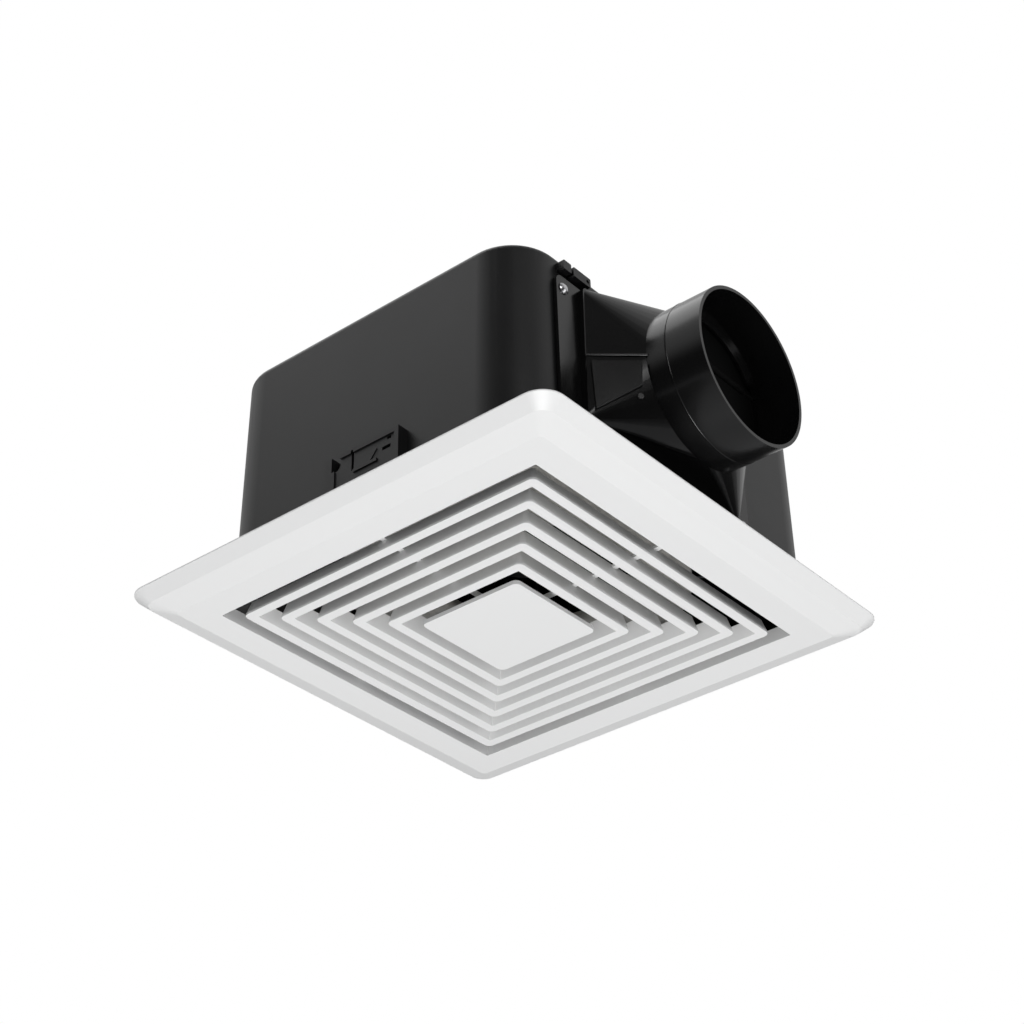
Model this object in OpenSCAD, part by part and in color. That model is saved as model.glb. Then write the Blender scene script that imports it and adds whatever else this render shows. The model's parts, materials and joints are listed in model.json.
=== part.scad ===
// Ceiling exhaust fan: square louvred grille below a boxed centrifugal fan with a round side duct.
// Origin: centre of the mounting flange in the ceiling plane. +X towards the duct, +Z up.
// Millimetres throughout.

/* [Grille] */
// Side of the square grille
grille_size = 320; // [317:1:326]
// Depth of the grille below the ceiling
grille_depth = 11.6; // [11:0.1:12.6]
// Extra depth of the centre plate below the rim
plate_drop = 2; // [1:0.1:3]
// Radius of the grille's outer corners
grille_corner = 14.5; // [12:0.5:16]
// Wall thickness of the grille
grille_wall = 2.4; // [2:0.1:2.8]
// Distance between neighbouring louvre bars
louvre_pitch = 14.77; // [14.4:0.01:15]
// Width of a louvre bar seen from below
louvre_width = 6.4; // [5.8:0.1:6.8]
// Height of a louvre bar and its blade
louvre_height = 9; // [8.4:0.1:9.1]
// Lean of a louvre's outer face towards the centre
louvre_lean = 2.2; // [1.6:0.1:3]
// Width of the ribs that join the louvre bars
rib_width = 3.5; // [3:0.1:5]
// Offset of the grille's centre from the housing's centre
grille_offset = -12.4; // [-14:0.1:-10]

/* [Housing] */
// Length of the housing along the duct, at the ceiling
housing_x = 233.2; // [232.6:0.2:236]
// Length of the housing across the duct, at the ceiling
housing_y = 284.6; // [284:0.2:286]
// Height of the housing above the ceiling
housing_height = 134.7; // [134:0.1:140]
// Wall thickness of the housing
housing_wall = 2.2; // [2:0.1:2.6]
// Radius of the housing's upright corners
housing_corner = 33; // [30:0.5:36]
// Reach of the mounting flange beyond the walls
flange_reach = 10; // [9:0.1:10.4]
// Reach of the mounting flange beyond the end walls
flange_end_reach = 16; // [15:0.2:18]
// Thickness of the mounting flange
flange_thickness = 2; // [1.6:0.1:2.4]
// Radius of the holes in the mounting flange
flange_hole = 2.25; // [1.8:0.05:2.5]

/* [Duct adapter] */
// Outer diameter of the round duct collar
collar_diameter = 99; // [97:0.5:99.5]
// Height of the collar's axis above the ceiling
collar_height = 72; // [71:0.5:73]
// Sideways position of the collar's axis
collar_side = -20; // [-22:0.5:-18]
// Length of the collar
collar_length = 36.4; // [32:0.2:50]
// Wall thickness of the adapter
adapter_wall = 2.2; // [1.8:0.1:2.4]
// Radius of the damper flap
flap_radius = 45; // [43:0.5:45.2]

/* [Fan] */
// Outer diameter of the impeller
impeller_diameter = 150; // [146:1:152]
// Height of the impeller's blades
blade_height = 60; // [56:1:62]
// Number of blades
blade_count = 40; // [30:1:44]
// Thickness of a blade
blade_thickness = 1; // [0.8:0.1:1.2]
// Wall thickness of the scroll casing
scroll_wall = 2; // [1.6:0.1:2.2]
// Height of the inlet plate above the ceiling
inlet_height = 24; // [22:0.5:25]

/* [Motor] */
// Outer diameter of the motor
motor_diameter = 80; // [76:1:82]
// Height of the stator core
core_height = 21; // [18:1:22]
// Diameter of the motor shaft
shaft_diameter = 8; // [6:0.5:9]

/* [Grille springs] */
// Diameter of the spring wire
wire_diameter = 1.6; // [1.4:0.1:1.8]
// Length of a spring leg
leg_length = 78; // [70:1:84]
// Thickness of the spring brackets
bracket_thickness = 1.2; // [1:0.1:1.5]

/* [Hidden] */
// Draft of the housing's walls, per millimetre of height
draft = 0.0178;
// Running gap between parts that turn in each other, on the radius
turn_gap = 0.05;
// Gap round fixed screws and parts laid in each other
fit_gap = 0.1;
// Free space between parts that move past each other
free_gap = 0.3;
// Small excess that makes cuts go right through
cut = 1;
// Fan axis
axis_x = -8;
axis_y = 18;
// Housing
half_x = housing_x / 2;
half_y = housing_y / 2;
inner_top = housing_height - housing_wall;
// Grille
half_grille = grille_size / 2;
opening_half = half_x + 2.6;
bar_half = opening_half - 8.7;
plate_half = bar_half - 5 * louvre_pitch;
// Scroll casing
inlet_thickness = 2;
scroll_z0 = inlet_height + inlet_thickness;
scroll_z1 = inner_top - 12.5;
growth = 9;
scroll_r = impeller_diameter / 2 + 12.5;
scroll_cx = axis_x - growth / 2;
scroll_cy = axis_y + growth / 2;
outlet_y0 = scroll_cy - 3 * growth - scroll_r + 2;
outlet_y1 = 44;
tongue_y = 40;
outlet_x = half_x - housing_wall - draft * scroll_z1 - free_gap;
// Outlet window through the housing wall
window_y0 = collar_side - 68;
window_y1 = collar_side + 66;
window_z0 = 30;
window_z1 = housing_height - 19.7;
// Duct adapter
base_y0 = collar_side - 72.4;
base_y1 = collar_side + 72;
base_z0 = 25.4;
base_z1 = window_z1 + 2.4;
base_x = half_x + 5.2;
neck_x = half_x + 30;
mouth_x = neck_x + collar_length;
collar_r = collar_diameter / 2;
collar_inner = collar_r - adapter_wall;
gasket_thickness = 0.8;
adapter_plate = 2.2;
adapter_y0 = base_y0 - 18.6;
adapter_y1 = base_y1 + 12;
adapter_z0 = 19;
adapter_z1 = base_z1 + 1.2;
// Catch over the adapter's upper edge
clip_y0 = base_y0 - 14.6;
clip_y1 = base_y0 + 9.9;
clip_z1 = housing_height - 5.5;
clip_z0 = clip_z1 - 6.4;
// Cable entry and wiring space
entry_y = -half_y + 44.3;
wiring_z = inner_top - 37.5;
cover_z = wiring_z - 25;
// Damper
pivot_x = neck_x + 6;
pivot_z = collar_height + 16;
pin_r = 1.5;
pin_half = sqrt(pow(collar_r - 0.7, 2) - 256);
flap_thickness = 1.6;
// Motor heights
plate_z0 = scroll_z1 + 1.5;
plate_z1 = plate_z0 + 1.5;
core_z1 = plate_z0 - 12.5;
core_z0 = core_z1 - core_height;
motor_r = motor_diameter / 2;
motor_z0 = core_z0 - 22;
shaft_r = shaft_diameter / 2;
cup_wall = 1.5;
bolt_circle = motor_r - 5;
bearing_r = shaft_r + 4;
bush_circle = motor_r + 13;
// Impeller heights
bell_depth = 10;
blade_z0 = inlet_height + bell_depth;
blade_z1 = blade_z0 + blade_height;
impeller_r = impeller_diameter / 2;
blade_inner = impeller_r - 14;
dish_r = motor_r + 6;
dish_z = motor_z0 - 10;
// Grille springs
wire_r = wire_diameter / 2;
coil_r = 5;
coil_z = -2.5;
spring_y = half_y - 12.3;
coil_pitch = wire_diameter + 0.45;
coil_turns = 3;
leg_side = coil_turns * coil_pitch / 2 + coil_pitch + 0.1;
leg_angle = 35.5;
shelf_z0 = coil_z + 13.5;
shelf_end = 29;
slot_in = 14.2;
slot_out = 25.4;
hook_pin = coil_r - wire_r - free_gap;

// Outer face of the long and short walls at a height
function wall_x(z) = half_x - draft * z;
function wall_y(z) = half_y - draft * z;

// Half of the drafted section, with a rounded top edge
module draft_half(h, z0, z1, edge) {
  top = h - draft * (z1 - edge);
  polygon([[0, z0], [h - draft * z0, z0], [top, z1 - edge], [top - edge, z1], [0, z1]]);
  translate([top - edge, z1 - edge])
    circle(r = edge, $fn = 48);
}

module draft_full(h, z0, z1, edge) {
  draft_half(h, z0, z1, edge);
  mirror([1, 0])
    draft_half(h, z0, z1, edge);
}

// Box with rounded upright corners, drafted walls and a rounded top edge
module drafted_box(hx, hy, r, z0, z1, edge) {
  translate([-(hx - r), 0, 0])
    rotate([90, 0, 90])
      linear_extrude(2 * (hx - r))
        draft_full(hy, z0, z1, edge);
  translate([0, hy - r, 0])
    rotate([90, 0, 0])
      linear_extrude(2 * (hy - r))
        draft_full(hx, z0, z1, edge);
  for (sx = [-1, 1])
    for (sy = [-1, 1])
      translate([sx * (hx - r), sy * (hy - r), 0])
        rotate_extrude($fn = 96)
          draft_half(r, z0, z1, edge);
}

// Space inside the housing, made smaller by a gap
module inside_box(gap, z0, z1) {
  drafted_box(half_x - housing_wall - gap, half_y - housing_wall - gap,
    housing_corner - housing_wall - gap, z0, z1, 3);
}

// Flat rectangle with rounded corners, centred
module round_rect(x, y, r) {
  square([x - 2 * r, y], center = true);
  square([x, y - 2 * r], center = true);
  for (sx = [-1, 1])
    for (sy = [-1, 1])
      translate([sx * (x / 2 - r), sy * (y / 2 - r)])
        circle(r = r, $fn = 48);
}

// Cylinder between two heights
module rod(r, z0, z1, n = 48) {
  translate([0, 0, z0])
    cylinder(r = r, h = z1 - z0, $fn = n);
}

// Cylinder along X between two positions
module rod_x(r, x0, x1, n = 48) {
  translate([x0, 0, 0])
    rotate([0, 90, 0])
      cylinder(r = r, h = x1 - x0, $fn = n);
}

// Cylinder along Y between two positions
module rod_y(r, y0, y1, n = 48) {
  translate([0, y0, 0])
    rotate([-90, 0, 0])
      cylinder(r = r, h = y1 - y0, $fn = n);
}

// Block between two corners
module block(x0, x1, y0, y1, z0, z1) {
  translate([x0, y0, z0])
    cube([x1 - x0, y1 - y0, z1 - z0]);
}

// Round-headed screw pointing up, with its head below the given height
module screw_up(r, head_r, head_h, length) {
  rod(r, 0, length, 32);
  rod(head_r, -head_h, 0, 32);
}

// Positions of the screws and posts
function ring_point(radius, angle) = [axis_x + radius * cos(angle), axis_y + radius * sin(angle)];
post_points = [for (a = [45, 135, 225, 315]) ring_point(scroll_r - 9.7, a)];
bush_points = [for (a = [30, 150, 270]) ring_point(bush_circle, a)];
bolt_points = [for (a = [90, 210, 330]) ring_point(bolt_circle, a)];
inlet_points = [
  [scroll_cx + (scroll_r + 5) * cos(45), scroll_cy + (scroll_r + 5) * sin(45)],
  [scroll_cx - (scroll_r + growth + 5) * cos(45), scroll_cy - growth + (scroll_r + growth + 5) * sin(45)],
  [scroll_cx + growth - (scroll_r + 2 * growth + 5) * cos(45),
    scroll_cy - growth - (scroll_r + 2 * growth + 5) * sin(45)],
  [60, outlet_y0 - 6.5],
  [92, outlet_y1 + 3.4]];
adapter_points = [
  [adapter_y0 + 6, adapter_z1 - 8.6], [adapter_y0 + 6, 30],
  [adapter_y1 - 6, adapter_z1 - 8.6], [adapter_y1 - 6, 30]];
flange_x = 90;
flange_y = half_y + flange_reach / 2 + 0.2;

// Housing

// Raised pocket low on a side wall, drawn on the front wall
module pocket_shape() {
  block(-21.5, 34.3, -half_y - 6.3, -half_y + 1.6, -1, 32.5);
}

module pocket_cuts() {
  front = -half_y - 6.3;
  translate([0, front, 0]) {
    // shallow sunk field
    block(-14, 31, -1, 0.9, 3, 29.5);
    // half-round hole at the left
    intersection() {
      translate([-16.2, 0, 28])
        rod_y(6.6, -cut, 6);
      block(-16.2, -8, -cut, 6, 22.6, 33);
    }
    // upright slot
    block(-1.6, 0.2, -cut, 5, 18, 31.2);
    // small openings at the right
    block(25.2, 28.2, -cut, 5, 27, 29);
    block(21.6, 27.8, -cut, 4, 21.2, 23.4);
  }
}

module pocket_tab() {
  front = -half_y - 6.3;
  // raised band and slanted tab in the sunk field
  block(0.2, 18, front, front + 2, 16, 18);
  translate([14, front + 1, 21])
    rotate([0, -50, 0])
      block(-5, 5, -0.6, 1, -0.9, 0.9);
}

module housing_pockets() {
  for (side = [0, 1])
    mirror([0, side, 0]) {
      difference() {
        pocket_shape();
        pocket_cuts();
      }
      pocket_tab();
    }
}

module housing_flange() {
  translate([0, 0, -flange_thickness])
    linear_extrude(flange_thickness)
      round_rect(housing_x + 2 * flange_end_reach, housing_y + 2 * flange_reach, housing_corner - 10);
}

module housing() {
  color([0.09, 0.09, 0.1]) {
    difference() {
      union() {
        drafted_box(half_x, half_y, housing_corner, -flange_thickness, housing_height, 5);
        housing_flange();
        housing_pockets();
      }
      inside_box(0, -flange_thickness - cut, inner_top);
      // window to the duct
      block(half_x - 12, half_x + cut, window_y0, window_y1, window_z0, window_z1);
      // cable entry
      translate([0, entry_y, wiring_z])
        rod_x(10, -half_x - cut, -half_x + 12);
      for (sx = [-1, 1])
        for (sy = [-1, 1])
          translate([sx * flange_x, sy * flange_y, 0])
            rod(flange_hole, -flange_thickness - cut, cut);
      for (p = adapter_points)
        translate([0, p[0], p[1]])
          rod_x(1.9 + fit_gap / 2, half_x - 12, half_x + cut, 32);
      for (p = bracket_screw_x)
        for (sy = [0, 1])
          mirror([0, sy, 0])
            translate([p, 0, 24])
              rod_y(1.5, -half_y - 1, -half_y + 8, 32);
    }
    // posts that carry the scroll casing
    for (p = post_points)
      translate([p[0], p[1], 0])
        difference() {
          rod(5, scroll_z1, inner_top + 1);
          rod(1.6, scroll_z1 - cut, inner_top - 2);
        }
    // pad and bosses for the wiring parts
    housing_pads();
  }
}

bracket_screw_x = [-18, 12];
pad_y = -half_y + housing_wall + 6;

module housing_pads() {
  difference() {
    union() {
      block(-78, -44, -half_y + 2.8, pad_y, wiring_z - 11, wiring_z + 11);
      block(38, 66, -half_y + 2.8, pad_y, wiring_z - 3, wiring_z + 21);
    }
    for (x = [-74, -48])
      translate([x, 0, wiring_z])
        rod_y(1.45, pad_y - 5, pad_y + cut, 32);
    translate([52, 0, wiring_z + 17])
      rod_y(1.45, pad_y - 5, pad_y + cut, 32);
  }
  // boss for the cover of the wiring space
  difference() {
    translate([-82, entry_y + 8, 0])
      rod(4.5, cover_z + 1.8, inner_top + 1);
    translate([-82, entry_y + 8, 0])
      rod(1.45, cover_z + 1, cover_z + 20, 32);
  }
}

// Duct adapter

// Upright sheet that follows the drafted wall, between two distances from it
module wall_sheet(d0, d1, y0, y1, z0, z1, r) {
  intersection() {
    translate([0, y1, 0])
      rotate([90, 0, 0])
        linear_extrude(y1 - y0)
          polygon([[wall_x(z0) + d0, z0], [wall_x(z0) + d1, z0],
            [wall_x(z1) + d1, z1], [wall_x(z1) + d0, z1]]);
    translate([half_x - 10, (y0 + y1) / 2, (z0 + z1) / 2])
      rotate([90, 0, 90])
        linear_extrude(40)
          round_rect(y1 - y0, z1 - z0, r);
  }
}

// Everything beyond the drafted wall by a distance, towards the duct
module beyond_wall(d) {
  translate([0, 200, 0])
    rotate([90, 0, 0])
      linear_extrude(400)
        polygon([[wall_x(0) + d, 0], [400, 0], [400, 160], [wall_x(160) + d, 160]]);
}

module base_rect(inset, r) {
  translate([(base_y0 + base_y1) / 2, (base_z0 + base_z1) / 2])
    round_rect(base_y1 - base_y0 - 2 * inset, base_z1 - base_z0 - 2 * inset, r);
}

module along_x(x0, x1) {
  translate([x0, 0, 0])
    rotate([90, 0, 90])
      linear_extrude(x1 - x0)
        children();
}

module collar_circle(r) {
  translate([collar_side, collar_height])
    circle(r = r, $fn = 96);
}

// Rectangle to circle transition
module transition(inset, r_end, x0, x1) {
  hull() {
    along_x(x0, x0 + 0.02)
      base_rect(inset, 3.4 - inset);
    along_x(x1 - 0.02, x1)
      collar_circle(r_end);
  }
}

module duct_adapter() {
  color([0.06, 0.06, 0.07]) {
    difference() {
      union() {
        wall_sheet(gasket_thickness, gasket_thickness + adapter_plate,
          adapter_y0, adapter_y1, adapter_z0, adapter_z1, 5);
        intersection() {
          along_x(half_x - 6, base_x)
            base_rect(0, 3.4);
          beyond_wall(gasket_thickness);
        }
        transition(0.12, collar_r - 0.7, base_x - 1, neck_x + 0.3);
        along_x(neck_x, mouth_x)
          collar_circle(collar_r);
        // raised bead round the collar
        translate([mouth_x - 23.4, collar_side, collar_height])
          rotate([0, 90, 0])
            rotate_extrude($fn = 96)
              translate([collar_r - 0.4, 0])
                circle(r = 0.65, $fn = 16);
      }
      along_x(half_x - 12, base_x - 0.6)
        base_rect(adapter_wall, 1.2);
      transition(adapter_wall + 0.12, collar_inner - 0.6, base_x - 1, neck_x + 0.3);
      along_x(neck_x, mouth_x + cut)
        collar_circle(collar_inner);
      for (p = adapter_points)
        translate([0, p[0], p[1]])
          rod_x(1.9 + fit_gap, half_x - 12, half_x + 12, 32);
      translate([pivot_x, collar_side, pivot_z])
        rod_y(pin_r + turn_gap, -pin_half - 0.2, pin_half + 0.2, 32);
    }
    // seats that stop the flap
    intersection() {
      along_x(pivot_x - 3.4, pivot_x - 1.4)
        difference() {
          collar_circle(collar_inner + 0.5);
          collar_circle(flap_radius - 2.5);
        }
      block(0, 400, -200, 200, 0, pivot_z - 5);
    }
    intersection() {
      along_x(pivot_x + 1.4, pivot_x + 3.4)
        difference() {
          collar_circle(collar_inner + 0.5);
          collar_circle(flap_radius - 2.5);
        }
      block(0, 400, -200, 200, pivot_z + 5, 200);
    }
  }
}

module adapter_gasket() {
  color([0.03, 0.03, 0.03])
    difference() {
      wall_sheet(0, gasket_thickness, adapter_y0 + 1.2, adapter_y1 - 1.2,
        adapter_z0 + 1.2, adapter_z1 - 1.2, 4);
      along_x(half_x - 12, half_x + 12)
        base_rect(adapter_wall, 1.2);
      for (p = adapter_points)
        translate([0, p[0], p[1]])
          rod_x(1.9 + fit_gap, half_x - 12, half_x + 12, 32);
    }
}

module adapter_screws() {
  color([0.78, 0.78, 0.8])
    for (p = adapter_points) {
      face = wall_x(p[1]) + gasket_thickness + adapter_plate + fit_gap;
      translate([0, p[0], p[1]]) {
        rod_x(1.9, face - 9, face + 0.5, 32);
        // domed head
        translate([face, 0, 0])
          rotate([0, 90, 0])
            rotate_extrude($fn = 48)
              intersection() {
                translate([0, -3])
                  circle(r = 5.1, $fn = 96);
                square([3.7, 3]);
              }
      }
    }
}

module adapter_clip() {
  // two-part catch over the adapter's upper edge
  color([0.07, 0.07, 0.08])
    difference() {
      union() {
        wall_sheet(0, 3.4, clip_y0, clip_y1, clip_z0 + 1.6, clip_z1, 0.8);
        wall_sheet(0, 5.6, clip_y0, clip_y0 + 7, clip_z0, clip_z1, 0.8);
        wall_sheet(0, 5.6, clip_y0 + 9, clip_y1, clip_z0, clip_z1, 0.8);
      }
      translate([half_x, clip_y1 - 2.7, clip_z0 + 3.2])
        rod_x(1.2, -cut, 8, 32);
    }
}

// Damper

module damper_flap() {
  color([0.35, 0.35, 0.37]) {
    difference() {
      union() {
        along_x(pivot_x - flap_thickness / 2, pivot_x + flap_thickness / 2)
          collar_circle(flap_radius);
        translate([pivot_x, collar_side, pivot_z])
          rod_y(3, -34, 34);
      }
      translate([pivot_x, collar_side, pivot_z])
        rod_y(pin_r, -60, 60, 32);
    }
  }
}

module damper_pin() {
  color([0.7, 0.7, 0.72])
    translate([pivot_x, collar_side, pivot_z])
      rod_y(pin_r, -pin_half, pin_half, 32);
}

// Scroll casing

// Quarter of a disc: quadrant numbers go round from +X to +Y
module quarter(cx, cy, r, angle) {
  translate([cx, cy])
    rotate(angle)
      intersection() {
        circle(r = r, $fn = 128);
        square([r + 1, r + 1]);
      }
}

// Scroll outline, grown outwards by a distance
module scroll_outline(g) {
  quarter(scroll_cx, scroll_cy, scroll_r + g, 0);
  quarter(scroll_cx, scroll_cy - growth, scroll_r + growth + g, 90);
  quarter(scroll_cx + growth, scroll_cy - growth, scroll_r + 2 * growth + g, 180);
  // straight run to the outlet
  low = scroll_cy - 3 * growth - scroll_r - g;
  tip = scroll_cx + scroll_r * cos(11.5);
  polygon([[scroll_cx, low], [outlet_x, low], [outlet_x, outlet_y1 + g],
    [tip + g, tongue_y + g], [tip - 10, scroll_cy], [scroll_cx, scroll_cy]]);
  translate([scroll_cx - 6, scroll_cy - growth - 6])
    square([growth + 12, growth + 12]);
}

module scroll_casing() {
  color([0.13, 0.13, 0.14])
    difference() {
      union() {
        translate([0, 0, scroll_z0])
          linear_extrude(scroll_z1 - scroll_z0)
            scroll_outline(scroll_wall);
        intersection() {
          translate([0, 0, scroll_z0])
            linear_extrude(3)
              scroll_outline(9.5);
          inside_box(0.6, 0, 60);
        }
      }
      difference() {
        translate([0, 0, scroll_z0 - cut])
          linear_extrude(scroll_z1 - scroll_wall - scroll_z0 + cut)
            scroll_outline(0);
        // bosses below the top, for the motor screws
        for (p = bush_points)
          translate([p[0], p[1], 0])
            rod(5, scroll_z1 - 10, scroll_z1);
      }
      // open end at the outlet
      block(outlet_x - 0.6, outlet_x + 4, outlet_y0 - 2, outlet_y1 - 0.5, scroll_z0 - cut, scroll_z1 - scroll_wall);
      translate([axis_x, axis_y, 0])
        rod(motor_r + 6, scroll_z1 - 6, scroll_z1 + cut, 96);
      for (p = post_points)
        translate([p[0], p[1], 0])
          rod(2.1, scroll_z1 - 6, scroll_z1 + cut, 32);
      for (p = bush_points)
        translate([p[0], p[1], 0])
          rod(1.95, scroll_z1 - 9, scroll_z1 + cut, 32);
      for (p = inlet_points)
        translate([p[0], p[1], 0])
          rod(1.6, scroll_z0 - cut, scroll_z0 + 4, 32);
    }
}

module scroll_screws() {
  color([0.7, 0.7, 0.72])
    for (p = post_points)
      translate([p[0], p[1], scroll_z1 - scroll_wall])
        screw_up(1.55, 3.8, 2.2, 11);
}

module inlet_plate() {
  color([0.62, 0.63, 0.64]) {
    difference() {
      intersection() {
        translate([0, 0, inlet_height])
          linear_extrude(inlet_thickness)
            scroll_outline(9.5);
        inside_box(0.6, 0, 60);
      }
      translate([axis_x, axis_y, 0])
        rod(blade_inner + 7, inlet_height - cut, scroll_z0 + cut, 96);
      for (p = inlet_points)
        translate([p[0], p[1], 0])
          rod(1.7, inlet_height - cut, scroll_z0 + cut, 32);
    }
    // bell mouth
    translate([axis_x, axis_y, inlet_height])
      rotate_extrude($fn = 96)
        translate([blade_inner + 7, bell_depth])
          intersection() {
            difference() {
              circle(r = bell_depth, $fn = 64);
              circle(r = bell_depth - 1.8, $fn = 64);
            }
            translate([-bell_depth, -bell_depth])
              square([bell_depth, bell_depth]);
          }
  }
}

module inlet_screws() {
  color([0.7, 0.7, 0.72])
    for (p = inlet_points)
      translate([p[0], p[1], inlet_height])
        screw_up(1.5, 3.2, 1.8, 5);
}

// Motor

module motor_plate() {
  color([0.62, 0.63, 0.65])
    difference() {
      translate([axis_x, axis_y, 0])
        rod(bush_circle + 8, plate_z0, plate_z1, 96);
      for (p = bush_points)
        translate([p[0], p[1], 0])
          rod(4, plate_z0 - cut, plate_z1 + cut);
      for (p = bolt_points)
        translate([p[0], p[1], 0])
          rod(1.9 + fit_gap, plate_z0 - cut, plate_z1 + cut, 32);
      translate([axis_x, axis_y, 0])
        rod(6, plate_z0 - cut, plate_z1 + cut);
    }
}

module motor_bushes() {
  color([0.08, 0.08, 0.08])
    for (p = bush_points)
      translate([p[0], p[1], 0])
        difference() {
          union() {
            rod(6.4, scroll_z1, plate_z0);
            rod(4, scroll_z1, plate_z1 + 1.5);
            rod(6.4, plate_z1, plate_z1 + 1.5);
          }
          rod(2, scroll_z1 - cut, plate_z1 + 3, 32);
        }
}

module motor_screws() {
  color([0.7, 0.7, 0.72])
    for (p = bush_points)
      translate([p[0], p[1], plate_z1 + 1.5])
        mirror([0, 0, 1])
          screw_up(1.9, 4, 2.4, 12);
}

module motor_upper_cover() {
  color([0.6, 0.61, 0.63])
    difference() {
      translate([axis_x, axis_y, 0])
        difference() {
          rod(motor_r, core_z1, plate_z0, 96);
          difference() {
            rod(motor_r - cup_wall, core_z1 - cut, plate_z0 - cup_wall, 96);
            rod(bearing_r + 3, core_z1 + 3.4, plate_z0);
          }
          rod(bearing_r, core_z1 - cut, plate_z0 - 0.8);
        }
      for (p = bolt_points)
        translate([p[0], p[1], 0])
          rod(1.9 + fit_gap, core_z1 - cut, plate_z0 + cut, 32);
    }
}

module motor_lower_cover() {
  color([0.6, 0.61, 0.63])
    difference() {
      translate([axis_x, axis_y, 0])
        difference() {
          rod(motor_r, motor_z0, core_z0, 96);
          difference() {
            rod(motor_r - cup_wall, motor_z0 + cup_wall, core_z0 + cut, 96);
            rod(bearing_r + 3, motor_z0, motor_z0 + 11);
          }
          rod(bearing_r, motor_z0 + 0.8, core_z0 + cut);
          rod(shaft_r + 1, motor_z0 - cut, motor_z0 + 2);
        }
      for (p = bolt_points)
        translate([p[0], p[1], 0])
          rod(1.9 + fit_gap, motor_z0 - cut, core_z0 + cut, 32);
    }
}

module stator_core() {
  color([0.45, 0.46, 0.48])
    difference() {
      translate([axis_x, axis_y, 0])
        difference() {
          rod(motor_r, core_z0, core_z1, 96);
          rod(18, core_z0 - cut, core_z1 + cut, 96);
          for (a = [0:30:330])
            rotate(a)
              translate([25, 0, 0])
                rod(3.1, core_z0 - cut, core_z1 + cut, 32);
        }
      for (p = bolt_points)
        translate([p[0], p[1], 0])
          rod(1.9 + fit_gap, core_z0 - cut, core_z1 + cut, 32);
    }
}

module stator_windings() {
  color([0.72, 0.4, 0.2])
    translate([axis_x, axis_y, 0]) {
      for (z = [core_z0 - 3.6, core_z1 + 3.6])
        rotate_extrude($fn = 96)
          translate([25, z]) {
            square([7, 5], center = true);
            for (s = [-1, 1])
              translate([s * 3.5, 0])
                circle(r = 2.5, $fn = 32);
          }
      for (a = [0:30:330])
        rotate(a)
          translate([25, 0, 0])
            rod(3, core_z0 - 3, core_z1 + 3, 32);
    }
}

module motor_bearings() {
  color([0.7, 0.55, 0.3])
    translate([axis_x, axis_y, 0]) {
      difference() {
        rod(bearing_r, motor_z0 + 0.8, motor_z0 + 11);
        rod(shaft_r + turn_gap, motor_z0, motor_z0 + 12);
      }
      difference() {
        rod(bearing_r, core_z1 + 3.4, plate_z0 - 0.8);
        rod(shaft_r + turn_gap, core_z1, plate_z0);
      }
    }
}

module motor_bolts() {
  color([0.7, 0.7, 0.72])
    for (p = bolt_points)
      translate([p[0], p[1], motor_z0])
        screw_up(1.9, 3, 2.2, plate_z1 + 4.5 - motor_z0);
}

module motor_nuts() {
  color([0.7, 0.7, 0.72])
    for (p = bolt_points)
      translate([p[0], p[1], 0])
        difference() {
          rod(3.8, plate_z1, plate_z1 + 3, 6);
          rod(1.9, plate_z1 - cut, plate_z1 + 5, 32);
        }
}

module motor_shaft() {
  color([0.75, 0.76, 0.78])
    translate([axis_x, axis_y, 0])
      rod(shaft_r, dish_z - 17, plate_z0 - 1.2);
}

module rotor_core() {
  color([0.5, 0.5, 0.52])
    translate([axis_x, axis_y, 0])
      difference() {
        union() {
          rod(17.5, core_z0 + 1, core_z1 - 1, 96);
          rod(16, core_z0 - 1.5, core_z1 + 1.5, 96);
        }
        rod(shaft_r, core_z0 - 3, core_z1 + 3);
      }
}

// Impeller

// Forward sweep of a blade and half its thickness as angles at a fraction of its depth
function sweep(s) = 9 * pow(s, 1.8);
function blade_r(s) = blade_inner + (impeller_r - blade_inner) * s;
function slope(s) = blade_r(s) * 16.2 * pow(s, 0.8) * PI / 180 / (impeller_r - blade_inner);
function half_angle(s) = blade_thickness / 2 * sqrt(1 + pow(slope(s), 2)) / blade_r(s) * 180 / PI;
function blade_point(s, side) = [blade_r(s) * cos(sweep(s) + side * half_angle(s)),
  blade_r(s) * sin(sweep(s) + side * half_angle(s))];

module blade_shape() {
  polygon(concat([for (i = [0:6]) blade_point(i / 6, 1)], [for (i = [6:-1:0]) blade_point(i / 6, -1)]));
}

module impeller() {
  color([0.16, 0.16, 0.17])
    translate([axis_x, axis_y, 0])
      difference() {
        union() {
          for (i = [0:blade_count - 1])
            rotate(i * 360 / blade_count)
              translate([0, 0, blade_z0])
                linear_extrude(blade_height + 0.5)
                  blade_shape();
          // ring at the inlet side
          difference() {
            rod(impeller_r + 1, blade_z0 - 2, blade_z0 + 2, 128);
            rod(impeller_r - 4.3, blade_z0 - 3, blade_z0 + 3, 128);
          }
          // back plate and dish round the motor
          difference() {
            union() {
              rod(impeller_r + 0.8, blade_z1, blade_z1 + 2, 128);
              rod(dish_r, dish_z, blade_z1 + 1, 96);
            }
            rod(dish_r - 1.6, dish_z + 2, blade_z1 + 3, 96);
          }
          rod(9, dish_z - 8, dish_z + 4);
        }
        rod(shaft_r, dish_z - 9, dish_z + 5);
      }
}

module impeller_washer() {
  color([0.7, 0.7, 0.72])
    translate([axis_x, axis_y, 0])
      difference() {
        rod(7.5, dish_z - 9.2, dish_z - 8);
        rod(shaft_r + fit_gap, dish_z - 10, dish_z - 7);
      }
}

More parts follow.
